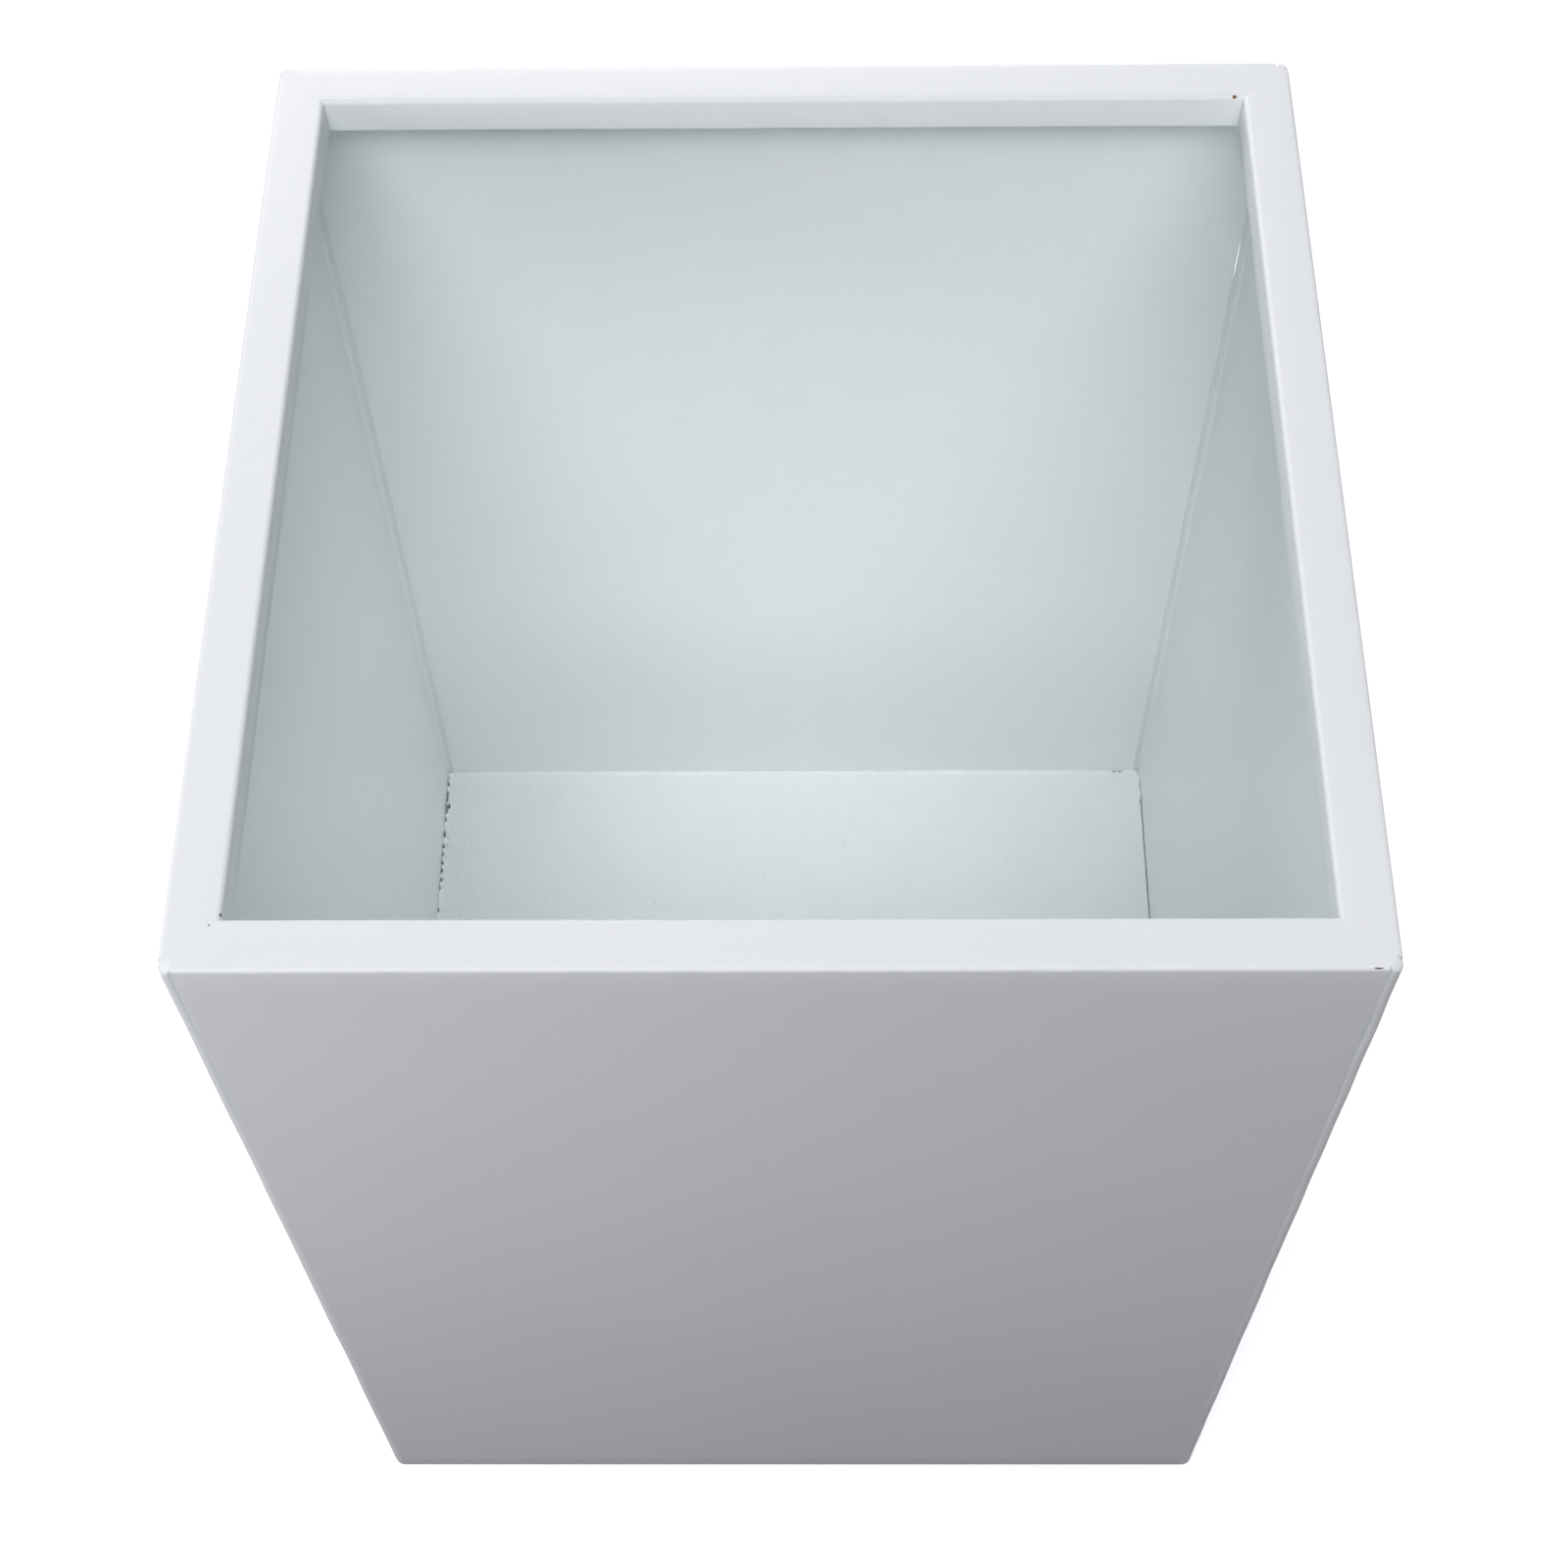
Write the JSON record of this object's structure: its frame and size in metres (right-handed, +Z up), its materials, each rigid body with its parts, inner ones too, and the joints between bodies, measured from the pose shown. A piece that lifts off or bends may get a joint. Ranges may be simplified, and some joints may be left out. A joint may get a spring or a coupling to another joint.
{
  "type": "planter box",
  "caption": "Tall square open-topped planter box of folded sheet steel with a turned-in flat rim, a hanging inner lip and a raised floor on small foot pads.",
  "frame": {"origin": "on the ground under the middle of the box, level with the foot pads' treads", "axes": "+Z up, out of the open top; +X to the right and +Y towards the back wall, for someone who faces the front wall"},
  "size_m": [0.5, 0.5, 0.704],
  "materials": {
    "white_powder_coat": "satin, fine orange peel",
    "grey_rubber": "matte",
    "black_rubber": "matte"
  },
  "bodies": {
    "root": {"front_panel": "white_powder_coat", "right_panel": "white_powder_coat", "back_panel": "white_powder_coat", "left_panel": "white_powder_coat", "floor_tray": "white_powder_coat", "floor_stiffener_front": "white_powder_coat", "floor_stiffener_back": "white_powder_coat", "floor_stitches": "white_powder_coat", "stiffener_stitches": "white_powder_coat", "drain_plug": "grey_rubber", "corner_seam_front_left": "white_powder_coat", "corner_seam_front_right": "white_powder_coat", "corner_seam_back_right": "white_powder_coat", "corner_seam_back_left": "white_powder_coat", "foot_pad_front_left": "black_rubber", "foot_pad_front_right": "black_rubber", "foot_pad_back_right": "black_rubber", "foot_pad_back_left": "black_rubber"}
  },
  "joints": []
}
